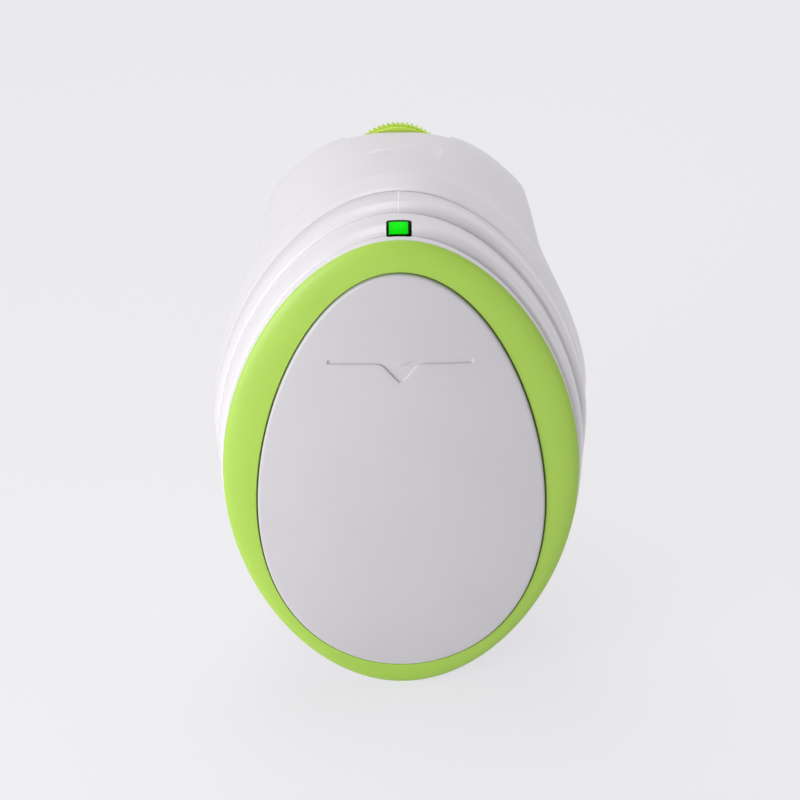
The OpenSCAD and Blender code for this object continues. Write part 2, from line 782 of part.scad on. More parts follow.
// Clear window that follows the lower step, with a stem down to the lamp
module lamp_window() {
    front = window_d + plug_gap - depth / 2;
    stem = stem_d - depth / 2;
    back = front + window_len;
    low = tongue_z + 0.2;
    foot = lamp_z + lamp_len + lamp_dia / 2 + 0.3;
    profile = [
        [front, low], [stem, low], [stem, foot], [back, foot],
        [back, bezel_h + riser1_h + 0.05], [front + 1.2, bezel_h + 0.85 * riser1_h],
        [front + 0.3, bezel_h + 0.45 * riser1_h], [front, bezel_h + 0.2]
    ];
    color([0.20, 0.90, 0.25]) translate([-window_w / 2, 0, 0])
        rotate([90, 0, 90]) linear_extrude(height = window_w) polygon(profile);
}

// Two thin leads from the lamp to the board
module lamp_leads() {
    start = lamp_d + base_out;
    z = lamp_z - lamp_base / 2;
    middle = [blend(start, board_d, 0.5), z + 1];
    route = [[start, z], [start + 2, z], middle, [board_d - 2, z], [board_d, z]];
    color([0.80, 0.80, 0.78]) for (side = [-1, 1]) lead(side * lamp_dia * 0.3, route, 0.8 * lamp_base);
}

// Earphone socket on the board's back, its nose in the side wall
module earphone_socket(side) {
    inner = waist(pot_d + jack_t, wall) - 0.4;
    root = jack_tip - jack_depth - 0.8;
    color([0.13, 0.13, 0.14]) difference() {
        union() {
            block(side * (root + inner) / 2, inner - root, pot_d, pot_d + jack_t,
                jack_z - jack_w / 2, jack_z + jack_w / 2);
            translate([side * (inner - 1), jack_d - depth / 2, jack_z]) rotate([0, side * 90, 0])
                cylinder(d = jack_nose, h = jack_tip - inner + 1);
        }
        translate([side * (jack_tip - jack_depth), jack_d - depth / 2, jack_z])
            rotate([0, side * 90, 0]) cylinder(d = jack_bore, h = jack_depth + 1);
    }
}
module earphone_socket_left() {
    earphone_socket(-1);
}
module earphone_socket_right() {
    earphone_socket(1);
}

// Round shell of the probe: spigot, flange and domed face, turned from one profile
module probe_shell() {
    r = probe_dia / 2;
    edge = 1;
    spigot_r = r - wall - 2 * plug_gap;
    skin = 1.8;
    tip = probe_flange + probe_dome;
    dome_r = (pow(r - edge, 2) + pow(probe_dome, 2)) / (2 * probe_dome);
    sweep = asin((r - edge) / dome_r);
    profile = concat(
        [[0, probe_flange - 1], [spigot_r - skin, probe_flange - 1], [spigot_r - skin, -spigot_len]],
        [[spigot_r, -spigot_len], [spigot_r, 0], [r, 0]],
        [for (a = [0:15:75]) [r - edge + edge * cos(a), probe_flange - edge + edge * sin(a)]],
        [for (u = [1:-0.125:0]) [dome_r * sin(u * sweep), tip - dome_r * (1 - cos(u * sweep))]]
    );
    color([0.86, 0.86, 0.88]) at(0, seal_d, probe_z) rotate_extrude() polygon(profile);
}

// Soft ring between the probe shell and the body
module probe_seal() {
    color([0.70, 0.72, 0.74]) at(0, body_d, probe_z) difference() {
        cylinder(d = probe_dia - 0.6, h = seal_t);
        translate([0, 0, -1]) cylinder(d = probe_dia - 2 * wall - 2 * plug_gap, h = seal_t + 2);
    }
}

// Half-round crystals bonded inside the probe's face
module crystal(side) {
    back = seal_d + probe_flange - 1;
    color([0.78, 0.72, 0.55]) intersection() {
        at(0, back - crystal_t, probe_z) cylinder(d = crystal_dia, h = crystal_t);
        block(side * (crystal_dia + crystal_gap) / 2, crystal_dia, back - 5, back + 5,
            probe_z - crystal_dia, probe_z + crystal_dia);
    }
}
module transmit_crystal() {
    crystal(-1);
}
module receive_crystal() {
    crystal(1);
}

// Damping pad behind the crystals
module damping_pad() {
    back = seal_d + probe_flange - 1 - crystal_t;
    color([0.35, 0.35, 0.38]) at(0, back - damper_t, probe_z)
        cylinder(r = probe_dia / 2 - wall - 2 * plug_gap - 1.8 - 0.3, h = damper_t);
}

// Screened cable from the crystals to the board
module probe_cable() {
    pad_d = seal_d + probe_flange - 1 - crystal_t - damper_t;
    route = [
        [pot_d, probe_z - 2 * cable_dia], [pot_d + 1.4 * cable_dia, probe_z - 2 * cable_dia],
        [blend(pot_d, pad_d, 0.4), probe_z + cable_dia], [pad_d - 1.4 * cable_dia, probe_z],
        [pad_d, probe_z]
    ];
    color([0.20, 0.20, 0.22]) lead(3 * cable_dia, route, cable_dia);
}

// Four long screws that pull the tray, bezel, collar and board onto the body
module case_screws() {
    color("silver") {
        at_screws(tray_d - head_t) cylinder(d = head_dia, h = head_t);
        at_screws(tray_d) cylinder(d = screw_dia, h = screw_end - tray_d);
    }
}

rear_housing();
collar_housing();
bezel();
battery_cover();
battery_tray();
battery();
battery_clip();
red_lead();
black_lead();
main_board();
board_chips();
board_capacitors();
volume_control();
volume_spindle();
volume_wheel();
wheel_screw();
status_lamp();
lamp_window();
lamp_leads();
earphone_socket_left();
earphone_socket_right();
probe_shell();
probe_seal();
transmit_crystal();
receive_crystal();
damping_pad();
probe_cable();
case_screws();
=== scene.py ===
# %% [markdown]
# # A pocket fetal doppler
# A handheld ultrasound listener: an egg-shaped face in a green bezel, a collar of two soft steps, a
# grip drawn in for the fingers, and a round probe behind. The construction model arrives as a fixed
# frame. This lesson models the moulded skins that show, finishes them, and lights them softly.

# %% Load the construction frame
import math

import bmesh
import bpy
from mathutils import Matrix, Vector


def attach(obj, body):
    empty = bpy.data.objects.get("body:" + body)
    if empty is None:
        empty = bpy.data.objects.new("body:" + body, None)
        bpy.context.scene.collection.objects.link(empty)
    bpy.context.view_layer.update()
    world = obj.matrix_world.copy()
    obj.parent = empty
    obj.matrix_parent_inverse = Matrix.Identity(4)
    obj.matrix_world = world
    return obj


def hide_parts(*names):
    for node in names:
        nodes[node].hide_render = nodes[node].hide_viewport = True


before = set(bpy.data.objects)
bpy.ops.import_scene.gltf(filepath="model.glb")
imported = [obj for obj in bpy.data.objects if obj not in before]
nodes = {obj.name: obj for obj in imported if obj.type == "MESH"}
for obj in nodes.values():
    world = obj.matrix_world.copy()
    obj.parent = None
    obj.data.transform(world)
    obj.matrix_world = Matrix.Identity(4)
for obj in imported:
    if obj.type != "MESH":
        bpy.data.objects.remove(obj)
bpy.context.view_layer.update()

# %% [markdown]
# ## The outlines
# The face is an egg, and so is the cover in it. An egg is an ellipse whose width changes a little with
# height. The construction uses the same formula, so each skin made here falls on its solid. Collar
# and body stand out from the face's egg, fully above its middle and less beside and under it. Sizes
# are in millimetres. A depth counts backwards from the cover's crown, and MIDDLE turns it into Y.

# %% Outlines
MM = 0.001
MIDDLE = 33.0
RIM, GROOVE, SKIRT, SHOULDER, BODY = 3.0, 18.2, 24.5, 42.3, 61.0
BODY_OUT = 2.9
WALL = 2.0
PROBE_Z, PROBE_R = 48.0, 23.0


def point(x, depth, z):
    return Vector((x, depth - MIDDLE, z)) * MM


def egg(width, height, taper, draw, middle, angle):
    """The x and z of an egg's outline, at an angle in degrees."""
    c, s = math.cos(math.radians(angle)), math.sin(math.radians(angle))
    return width / 2 * c * (1 - taper * s - draw * s * s), middle + height / 2 * s


def ease(u):
    u = max(0.0, min(1.0, u))
    return u * u * (3 - 2 * u)


def kept(angle):
    """The share of its outset that a skin keeps at an angle."""
    slope = math.degrees(math.asin(math.sin(math.radians(angle))))
    return 1 - 0.42 * ease((13 - slope) / 20)


def head(out, angle, inset=0.0):
    side = (out * kept(angle) if out > 0 else out) - inset
    return egg(62.4 + 2 * side, 88.5 + 2 * (out - inset), 0.02, 0.075, 44.25, angle)


def lid(out, angle):
    return egg(49.8 + 2 * out, 78.1 + 2 * out, 0.156, -0.04, 43.7, angle)


def turned(count):
    return [360 * j / count for j in range(count)]


def head_ring(out, depth, low=0.0, count=256):
    ring = []
    for angle in turned(count):
        x, z = head(out, angle)
        ring.append(point(x, depth, max(z, low)))
    return ring


def lid_ring(out, depth, count=256):
    return [point(x, depth, z) for x, z in (lid(out, angle) for angle in turned(count))]


print("the face is %.1f mm wide and %.1f mm high" % (2 * head(0, 0)[0], head(0, 90)[1]))

# %% [markdown]
# ## Skinning ring to ring
# A moulded shell with no flat side is easiest as a stack of rings. A circle of vertices is extruded
# again and again, and each new ring is laid on its outline. Every vertex remembers its place round the
# ring in an integer layer, and an extrusion copies it. A shell's last ring meets its first, and a
# solid's end closes in a pole.

# %% A loft by extrusion
def deselect():
    bpy.ops.object.select_all(action="DESELECT")


def finish_mesh(piece, angle=32):
    """Faces outwards, smooth but for edges sharper than the angle."""
    deselect()
    piece.select_set(True)
    bpy.context.view_layer.objects.active = piece
    bpy.ops.object.mode_set(mode="EDIT")
    bpy.ops.mesh.select_all(action="SELECT")
    bpy.ops.mesh.remove_doubles(threshold=2e-6)
    bpy.ops.mesh.normals_make_consistent(inside=False)
    bpy.ops.object.mode_set(mode="OBJECT")
    bpy.ops.object.shade_smooth_by_angle(angle=math.radians(angle))
    print(piece.name, "has", len(piece.data.polygons), "faces")
    return piece


def loft(name, rings, loop=False, first_pole=None, last_pole=None):
    deselect()
    bpy.ops.mesh.primitive_circle_add(vertices=len(rings[0]), radius=0.03)
    piece = bpy.context.object
    piece.name = piece.data.name = name
    bpy.ops.object.mode_set(mode="EDIT")
    bpy.ops.mesh.select_all(action="SELECT")
    for number, ring in enumerate(rings + ([rings[0]] if loop else [])):
        if number:
            bpy.ops.mesh.extrude_region_move()
        mesh = bmesh.from_edit_mesh(piece.data)
        place = mesh.verts.layers.int.get("place")
        if place is None:
            place = mesh.verts.layers.int.new("place")
            for j, vert in enumerate(mesh.verts):
                vert[place] = j
        for vert in mesh.verts:
            if vert.select:
                vert.co = ring[vert[place]]
        bmesh.update_edit_mesh(piece.data)
    if last_pole is not None:
        close_pole(piece, last_pole)
    if first_pole is not None:
        mesh = bmesh.from_edit_mesh(piece.data)
        for vert in mesh.verts:
            vert.select = False
        for edge in mesh.edges:
            edge.select = edge.is_boundary
        mesh.select_flush(True)
        for edge in mesh.edges:
            if edge.is_boundary:
                edge.select = True
        bmesh.update_edit_mesh(piece.data)
        close_pole(piece, first_pole)
    bpy.ops.object.mode_set(mode="OBJECT")
    return finish_mesh(piece)


def close_pole(piece, spot):
    bpy.ops.mesh.extrude_region_move()
    bpy.ops.mesh.merge(type="CENTER")
    mesh = bmesh.from_edit_mesh(piece.data)
    for vert in mesh.verts:
        if vert.select:
            vert.co = spot
    bmesh.update_edit_mesh(piece.data)


def steps(count):
    return [k / count for k in range(count + 1)]


# %% [markdown]
# ## The green bezel
# The bezel is a ring whose face swells from its outer edge to the cover. In section the swelling is a
# quarter of an ellipse. A fine chamfer at the outer edge leaves the seam that parts two mouldings.

# %% Bezel
RISE = 1.4
GAP = 0.25


def bezel_ring(share, depth, out=0.0, count=256):
    ring = []
    for angle in turned(count):
        (x0, z0), (x1, z1) = head(out, angle), lid(GAP, angle)
        ring.append(point(x0 + (x1 - x0) * share, depth, z0 + (z1 - z0) * share))
    return ring


swell = [bezel_ring(0, RIM, -0.1), bezel_ring(0, RIM - 0.1)]
for u in steps(18)[1:]:
    t = math.radians(84 * u)
    swell.append(bezel_ring(1 - math.cos(t), RIM - RISE * math.sin(t)))
swell += [bezel_ring(0.955, 1.6), bezel_ring(0.978, 1.61), bezel_ring(0.992, 1.68), bezel_ring(1, 1.82)]
bezel = loft("bezel_skin", swell + [
    bezel_ring(1, 3.4), lid_ring(-1.3, 3.4), lid_ring(-1.3, 4.6), lid_ring(-0.2, 4.6),
    lid_ring(-0.2, 6.2), head_ring(-1.3, 6.2, 2.1), head_ring(-1.3, RIM, 2.1),
], loop=True)
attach(bezel, "case")
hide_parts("bezel")

# %% [markdown]
# ## The stepped collar
# Two soft steps climb from the bezel to the body. Each riser leaves a fine notch at its foot steeply and
# rolls over into a tread that falls a little. The knee at its crest is close, so it catches the light
# as a thin bright line. Rings right behind a crest keep that line from smearing over the tread.

# %% Collar
FLAT, RISER1, TREAD, RISER2 = 1.8, 3.8, 2.9, 2.2
STEP1, STEP2, FALL = 1.25, 1.2, 0.12
FOOT1 = RIM + FLAT
CREST1 = FOOT1 + RISER1
FOOT2 = CREST1 + TREAD
CREST2 = FOOT2 + RISER2
LOW = STEP1 - FALL
HIGH = LOW + STEP2
NOTCH = 0.12


def riser(foot, low, length, height, top=math.radians(68)):
    """Up a rounded riser, from the notch at its foot to the knee behind its crest."""
    points = [(low, foot - NOTCH), (low - NOTCH, foot)]
    for u in steps(14)[1:]:
        rise = height * math.sin(top * u) / math.sin(top)
        run = length * (1 - math.cos(top * u)) / (1 - math.cos(top))
        points.append((low + rise, foot + run))
    return points + [(low + height, foot + length + 0.1), (low + height - 0.004, foot + length + 0.25)]


profile = [(-0.1, RIM), (0, RIM + 0.1)] + riser(FOOT1, 0, 2.3, STEP1 - 0.04) + riser(FOOT2, LOW, RISER2, STEP2)
profile += [(HIGH - FALL, GROOVE - 0.35), (HIGH - FALL - 0.1, GROOVE - 0.18), (1.7, GROOVE - 0.1), (1.0, GROOVE - 0.1)]
inside = [(0.1, GROOVE), (0.1, 16.0), (-0.6, 15.0), (-0.6, 8.2), (-1.2, 7.2), (-1.2, RIM)]
collar = loft("collar_skin", [head_ring(out, depth) for out, depth in profile]
              + [head_ring(out, depth, WALL) for out, depth in inside], loop=True)
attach(collar, "case")
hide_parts("collar_housing")

# %% [markdown]
# ## The body behind
# The body starts as the face's egg and grows fuller at its upper corners. It is scooped in at both
# sides for the fingers, and then turns into the probe's round seat. Its sides are cut flat by a width
# that changes with depth, and the cut's corner is softened. A section's points are shared out between
# its sides, its top and its foot.

# %% Sections of the body
GRIP, SCOOP, TURN = 50.4, 8.0, 15.9
GRIP_SLOPE = math.radians(10)
ROUND = 320
SIDE = 46
ARC = ROUND // 2 - SIDE


def waist(depth, inset=0.0):
    """Half the width that the finger scoops leave."""
    radius = SCOOP + inset
    centre = SKIRT + SCOOP
    middle = GRIP / 2 + SCOOP * math.cos(GRIP_SLOPE)
    end = centre - radius * math.sin(GRIP_SLOPE)
    if depth <= centre - radius:
        return 62.4
    if depth < end:
        return middle - math.sqrt(radius ** 2 - (centre - depth) ** 2)
    return middle - radius * math.cos(GRIP_SLOPE) - (depth - end) * math.tan(GRIP_SLOPE)


def softly(value, limit, room=1.5):
    """The smaller of two lengths, with the corner between them rounded."""
    near = max(room - abs(value - limit), 0) / room
    return min(value, limit) - near * near * room / 4


def section(out, depth, inset, angle):
    """A point of the body's section, fuller than the face at its upper corners."""
    rise = math.degrees(math.asin(math.sin(math.radians(angle))))
    swell = 1.4 * ease((depth - SKIRT) / (SHOULDER - SKIRT)) * ease((90 - rise) / 30) * ease(rise / 30)
    return head(out + swell, angle, inset)


def corner(out, depth, inset, width, way):
    """The angle at which the egg's half width comes down to the given one."""
    low, high = 8.0, 89.0
    for _ in range(24):
        angle = (low + high) / 2
        if abs(section(out, depth, inset, way * angle)[0]) > width:
            low = angle
        else:
            high = angle
    return low


def spread(j, top, bottom):
    """The angle of a section's point: right side, top, left side, foot."""
    half = SIDE + ARC
    s, left = j % half, j >= half
    if s < SIDE:
        share = s / SIDE
        return 180 - top + (top + bottom) * share if left else -bottom + (top + bottom) * share
    share = (s - SIDE) / ARC
    if left:
        return 180 + bottom + (180 - 2 * bottom) * share
    return top + (180 - 2 * top) * share


def body_ring(out, depth, inset=0.0):
    width = waist(depth, inset)
    held = waist(max(depth, SKIRT + 0.25 * SCOOP), inset)
    top, bottom = corner(out, depth, inset, held, 1), corner(out, depth, inset, held, -1)
    turn = ease((depth - SHOULDER) / TURN)
    ring = []
    for j in range(ROUND):
        x, z = section(out, depth, inset, spread(j, top, bottom))
        cut = math.copysign(softly(abs(x), width), x)
        c = math.radians(spread(j, 45, 45))
        x1, z1 = (PROBE_R - inset) * math.cos(c), PROBE_Z + (PROBE_R - inset) * math.sin(c)
        z = max(inset, z)
        ring.append(point(cut + (x1 - cut) * turn, depth, max(z + (z1 - z) * turn, inset)))
    return ring


# %% [markdown]
# The shell is skinned outside from the groove to the probe's seat, and inside back to the lip that
# plugs into the collar. Stations crowd where the surface turns fastest.

# %% Rear housing
outside = [(1.0, GROOVE + 0.1), (1.8, GROOVE + 0.1), (2.1, GROOVE + 0.18), (2.25, GROOVE + 0.4)]
outside += [(2.25 + 0.65 * u, GROOVE + 0.4 + (SKIRT - GROOVE - 0.5) * u) for u in steps(6)[1:]]
stations = [SKIRT + SCOOP * u ** 2 for u in steps(22)]
stations += [SKIRT + SCOOP + (SHOULDER - SKIRT - SCOOP) * u for u in steps(8)[1:]]
stations += [SHOULDER + TURN * u for u in steps(26)[1:]] + [BODY - 0.15]
inner = [BODY] + [SHOULDER + TURN * u for u in (0.85, 0.7, 0.5, 0.3, 0.15, 0)]
inner += [SKIRT + 6, SKIRT + 3, SKIRT + 1, SKIRT, SKIRT - 1]
rear = loft("rear_skin", [body_ring(out, depth) for out, depth in outside]
            + [body_ring(BODY_OUT, depth) for depth in stations]
            + [body_ring(BODY_OUT, BODY, 0.15)]
            + [body_ring(BODY_OUT, depth, WALL) for depth in inner]
            + [body_ring(-1.3, depth, 0) for depth in (GROOVE + 1, GROOVE - 2)]
            + [body_ring(-0.1, depth, 0) for depth in (GROOVE - 2, GROOVE)], loop=True)

# %% [markdown]
# The thumbwheel's slot and the two earphone holes are cut with boolean tools: a box and a cylinder
# are subtracted, and then thrown away.

# %% Slot and holes
WHEEL_D, WHEEL_T, WHEEL_R, WHEEL_Z = 42.0, 2.6, 9.0, 83.4
JACK_D, JACK_Z = 41.3, 68.0


def subtract(piece, cutter):
    deselect()
    piece.select_set(True)
    bpy.context.view_layer.objects.active = piece
    bpy.ops.object.modifier_add(type="BOOLEAN")
    modifier = piece.modifiers[-1]
    modifier.operation, modifier.solver, modifier.object = "DIFFERENCE", "EXACT", cutter
    bpy.ops.object.modifier_apply(modifier=modifier.name)
    bpy.data.objects.remove(cutter)


def move_to(piece, place, turn=(0, 0, 0)):
    """Turns and moves a piece, and puts its place into its mesh."""
    piece.rotation_euler, piece.location = turn, place
    deselect()
    piece.select_set(True)
    bpy.context.view_layer.objects.active = piece
    bpy.ops.object.transform_apply(location=True, rotation=True, scale=True)


deselect()
bpy.ops.mesh.primitive_cube_add(size=1)
slot_box = bpy.context.object
slot_box.scale = (19 * MM, 3.2 * MM, 9 * MM)
move_to(slot_box, point(0, 43.3, WHEEL_Z + 5.5))
subtract(rear, slot_box)
deselect()
bpy.ops.mesh.primitive_cylinder_add(vertices=96, radius=(WHEEL_R + 0.3) * MM, depth=3.2 * MM)
relief = bpy.context.object
move_to(relief, point(0, 43.3, WHEEL_Z), (math.radians(90), 0, 0))
subtract(rear, relief)
for side in (-1, 1):
    deselect()
    bpy.ops.mesh.primitive_cylinder_add(vertices=48, radius=3.1 * MM, depth=12 * MM)
    hole = bpy.context.object
    move_to(hole, point(side * 25, JACK_D, JACK_Z), (0, math.radians(90), 0))
    subtract(rear, hole)
finish_mesh(rear)
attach(rear, "case")
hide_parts("rear_housing")

# %% [markdown]
# ## The battery cover
# The cover is a shallow dome with a rounded edge, dished behind. Its thumb mark is a fine line that
# dips into a notch, sunk a third of a millimetre. The cutter for it follows the dome, and its walls
# lean, as a moulding's do.

# %% Cover
CROWN, EDGE_ROUND, COVER_BACK = 1.0, 0.4, 3.4


def dome(x, z):
    """The depth of the dome at a place on it."""
    dx, dz = x, z - 43.7
    low, high = 0.0, 1.6
    angle = math.degrees(math.atan2(dz / 78.1, dx / 49.8))
    for _ in range(12):
        ex, ez = lid(-EDGE_ROUND, angle)
        angle += math.degrees(math.atan2(dz, dx) - math.atan2(ez - 43.7, ex)) * 0.8
    ex, ez = lid(-EDGE_ROUND, angle)
    share = math.hypot(dx, dz) / max(math.hypot(ex, ez - 43.7), 1e-6)
    return CROWN * share ** 2


def crown_ring(share):
    ring = []
    for angle in turned(256):
        x, z = lid(-EDGE_ROUND, angle)
        ring.append(point(x * share, CROWN * share ** 2, 43.7 + (z - 43.7) * share))
    return ring


front = [crown_ring(u) for u in steps(40)[1:]]
front += [lid_ring(-EDGE_ROUND * (1 - math.sin(math.radians(t))), CROWN + EDGE_ROUND * (1 - math.cos(math.radians(t))))
          for t in (25, 50, 70, 90)]
cover = loft("cover_skin", front + [
    lid_ring(0, COVER_BACK - 0.15), lid_ring(-0.15, COVER_BACK), lid_ring(-2.9, COVER_BACK),
    lid_ring(-3.0, COVER_BACK - 0.1), lid_ring(-3.1, 2.7), lid_ring(-3.3, 2.6), lid_ring(-12, 2.6),
], first_pole=point(0, 0, 43.7), last_pole=point(0, 2.6, 43.7))


def rounded(outline, passes=3):
    """Cuts the corners of an outline until they are smooth."""
    for _ in range(passes):
        cut = []
        for (x0, z0), (x1, z1) in zip(outline, outline[1:] + outline[:1]):
            cut += [(x0 * 0.75 + x1 * 0.25, z0 * 0.75 + z1 * 0.25), (x0 * 0.25 + x1 * 0.75, z0 * 0.25 + z1 * 0.75)]
        outline = cut
    return outline


def grown(outline, amount):
    """An anticlockwise outline, moved outwards."""
    moved = []
    for k, (x, z) in enumerate(outline):
        (x0, z0), (x1, z1) = outline[k - 1], outline[(k + 1) % len(outline)]
        dx, dz = x1 - x0, z1 - z0
        length = math.hypot(dx, dz) or 1
        moved.append((x + dz / length * amount, z - dx / length * amount))
    return moved


MARK_Z = 66.5
line = [(12.5, -0.33), (12.5, 0.33), (12.1, 0.33), (8, 0.33), (4, 0.33), (2.6, 0.33), (1.7, 0.1), (0, -1.0),
        (-1.7, 0.1), (-2.6, 0.33), (-4, 0.33), (-8, 0.33), (-12.1, 0.33), (-12.5, 0.33), (-12.5, -0.33), (-12.1, -0.33),
        (-8, -0.33), (-4.4, -0.33), (-3.4, -0.4), (-2.6, -1.0), (-0.7, -3.4), (0, -3.9), (0.7, -3.4), (2.6, -1.0),
        (3.4, -0.4), (4.4, -0.33), (8, -0.33), (12.1, -0.33)]
mark = rounded([(x, z + MARK_Z) for x, z in line], 2)


def mark_ring(amount, sink):
    return [point(x, dome(x, z) + sink, z) for x, z in grown(mark, amount)]


def close_ends(piece):
    """Fills a loft's two open ends."""
    deselect()
    piece.select_set(True)
    bpy.context.view_layer.objects.active = piece
    bpy.ops.object.mode_set(mode="EDIT")
    bpy.ops.mesh.select_all(action="SELECT")
    bpy.ops.mesh.fill_holes(sides=0)
    bpy.ops.mesh.select_all(action="SELECT")
    bpy.ops.mesh.quads_convert_to_tris(ngon_method="BEAUTY")
    bpy.ops.object.mode_set(mode="OBJECT")
    return finish_mesh(piece)


mark_cutter = close_ends(loft("mark_cutter", [
    mark_ring(0.24, -0.4), mark_ring(0.17, -0.01), mark_ring(0.08, 0.03), mark_ring(0.02, 0.13),
    mark_ring(-0.04, 0.27), mark_ring(-0.12, 0.33),
]))
subtract(cover, mark_cutter)

# %% [markdown]
# Three tongues stand behind the cover and seat in the tray's slots: two at its foot and a broad one at
# its top. Each is a box with softened edges, joined to the cover.

# %% Cover tongues
def softened_box(name, low, high, radius, segments=3):
    deselect()
    bpy.ops.mesh.primitive_cube_add(size=1)
    piece = bpy.context.object
    piece.name = piece.data.name = name
    piece.scale = [b - a for a, b in zip(low, high)]
    move_to(piece, [(a + b) / 2 for a, b in zip(low, high)])
    bpy.ops.object.mode_set(mode="EDIT")
    bpy.ops.mesh.select_all(action="SELECT")
    bpy.ops.mesh.bevel(offset=radius, segments=segments, affect="EDGES")
    bpy.ops.object.mode_set(mode="OBJECT")
    return piece


def join(pieces):
    deselect()
    for piece in pieces:
        piece.select_set(True)
    bpy.context.view_layer.objects.active = pieces[0]
    bpy.ops.object.join()
    return pieces[0]


tongues = []
for x, wide, z in ((-7, 5, 9.45), (7, 5, 9.45), (0, 8, 77.25)):
    tongues.append(softened_box("tongue", point(x - wide / 2, 2.5, z), point(x + wide / 2, 6.7, z + 1.2), 0.25 * MM))
cover = join([cover] + tongues)
finish_mesh(cover)
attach(cover, "cover")
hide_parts("battery_cover")

# %% [markdown]
# ## The thumbwheel
# The volume wheel has 62 rounded teeth, so a thumb can roll it, behind a smooth shoulder and a fine
# groove. Its rim is a wave laid on a circle. The rings run from the bore over the front face, across
# the shoulder and the teeth, and back to the bore.

# %% Thumbwheel
TEETH = 62
DEEP = 0.8
AROUND = TEETH * 8


def wheel_ring(radius, depth, deep=0.0):
    ring = []
    for j in range(AROUND):
        wave = (0.5 - 0.5 * math.cos(2 * math.pi * j / 8)) ** 1.1
        r, a = radius - deep * wave, 2 * math.pi * j / AROUND + math.pi / 2
        ring.append(point(r * math.cos(a), depth, WHEEL_Z + r * math.sin(a)))
    return ring


F, B = WHEEL_D, WHEEL_D + WHEEL_T
wheel = loft("wheel_skin", [
    wheel_ring(1.55, F), wheel_ring(7.4, F), wheel_ring(8.5, F), wheel_ring(8.68, F + 0.05),
    wheel_ring(8.75, F + 0.18), wheel_ring(8.75, F + 0.4), wheel_ring(8.65, F + 0.5), wheel_ring(8.4, F + 0.55),
    wheel_ring(8.4, F + 0.8), wheel_ring(8.6, F + 0.84, 0.2), wheel_ring(8.9, F + 0.94, 0.5),
    wheel_ring(WHEEL_R, F + 1.1, DEEP), wheel_ring(WHEEL_R, B - 0.4, DEEP), wheel_ring(8.85, B - 0.15, 0.5),
    wheel_ring(8.5, B - 0.03, 0.3), wheel_ring(8.0, B), wheel_ring(6.5, B), wheel_ring(6.4, B - 0.8),
    wheel_ring(3.3, B - 0.8), wheel_ring(3.2, B), wheel_ring(1.55, B),
], loop=True)
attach(wheel, "wheel")
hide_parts("volume_wheel")

# %% [markdown]
# ## The lamp window
# A small clear window follows the lower riser, with a dark frame round a lit core. It is a box whose
# corners are bevelled and whose top is bent to the riser, and the core is the same form, smaller. A
# block a tenth of a millimetre larger opens the collar for it.

# %% Lamp window
def riser_height(x, depth):
    """The collar's height over a place on the lower step."""
    for (out0, d0), (out1, d1) in zip(profile, profile[1:]):
        if d0 <= depth <= d1:
            out = out0 + (out1 - out0) * (depth - d0) / (d1 - d0)
    angle = 90 - math.degrees(math.asin(min(1, abs(x) / 33)))
    for _ in range(20):
        angle += (head(out, angle)[0] - abs(x)) * 1.5
    return head(out, angle)[1]


def rounded_block(name, low_x, high_x, front_d, back_d, foot, height, radius):
    """An upright block with rounded corners, left in edit mode."""
    deselect()
    bpy.ops.mesh.primitive_plane_add(size=1)
    piece = bpy.context.object
    piece.name = piece.data.name = name
    piece.scale = ((high_x - low_x) * MM, (back_d - front_d) * MM, 1)
    move_to(piece, point((low_x + high_x) / 2, (front_d + back_d) / 2, foot))
    bpy.ops.object.mode_set(mode="EDIT")
    bpy.ops.mesh.select_all(action="SELECT")
    bpy.ops.mesh.bevel(offset=radius * MM, segments=5, affect="VERTICES")
    bpy.ops.mesh.select_all(action="SELECT")
    bpy.ops.mesh.extrude_region_move(TRANSFORM_OT_translate={"value": (0, 0, height * MM)})
    return piece


def riser_block(name, low_x, high_x, front_d, back_d, foot, proud, radius):
    """A block whose top follows the step's surface, proud of it by a little."""
    piece = rounded_block(name, low_x, high_x, front_d, back_d, foot, 5, radius)
    bpy.ops.mesh.inset(thickness=0.12 * MM)
    for u in steps(14)[1:-1]:
        bpy.ops.mesh.select_all(action="SELECT")
        bpy.ops.mesh.bisect(plane_co=point(0, front_d + (back_d - front_d) * u, foot), plane_no=(0, 1, 0))
    for u in steps(6)[1:-1]:
        bpy.ops.mesh.select_all(action="SELECT")
        bpy.ops.mesh.bisect(plane_co=point(low_x + (high_x - low_x) * u, front_d, foot), plane_no=(1, 0, 0))
    mesh = bmesh.from_edit_mesh(piece.data)
    for vert in mesh.verts:
        if vert.co.z > (foot + 2) * MM:
            x, depth = vert.co.x / MM, vert.co.y / MM + MIDDLE
            edge = min(high_x - x, x - low_x, depth - front_d, back_d - depth)
            roll = 0.14 * (1 - min(edge / 0.3, 1)) ** 2
            vert.co.z = (riser_height(x, depth) + proud - roll) * MM
    bmesh.update_edit_mesh(piece.data)
    bpy.ops.object.mode_set(mode="OBJECT")
    return finish_mesh(piece, 50)


# The lip is painted whiter than the collar: a painted highlight along its rolled edge round the window.
window_lip = riser_block("window_lip", -2.42, 2.42, FOOT1 - 0.64, CREST1 + 0.05, 84.0, 0.03, 0.6)
for piece in (collar, window_lip):
    opening = rounded_block("opening", -2.17, 2.17, FOOT1 - 0.42, CREST1 - 0.18, 83.0, 9, 0.5)
    bpy.ops.object.mode_set(mode="OBJECT")
    finish_mesh(opening)
    subtract(piece, opening)
    finish_mesh(piece)
window_frame = riser_block("window_frame", -2.15, 2.15, FOOT1 - 0.4, CREST1 - 0.2, 86.0, 0.03, 0.5)
window_core = riser_block("window_core", -1.8, 1.65, FOOT1 - 0.25, CREST1 - 0.85, 85.4, 0.08, 0.35)
for piece, slot in ((window_lip, "white_plastic"), (window_frame, "lit_window"), (window_core, "lit_window")):
    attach(piece, "case")
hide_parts("lamp_window")

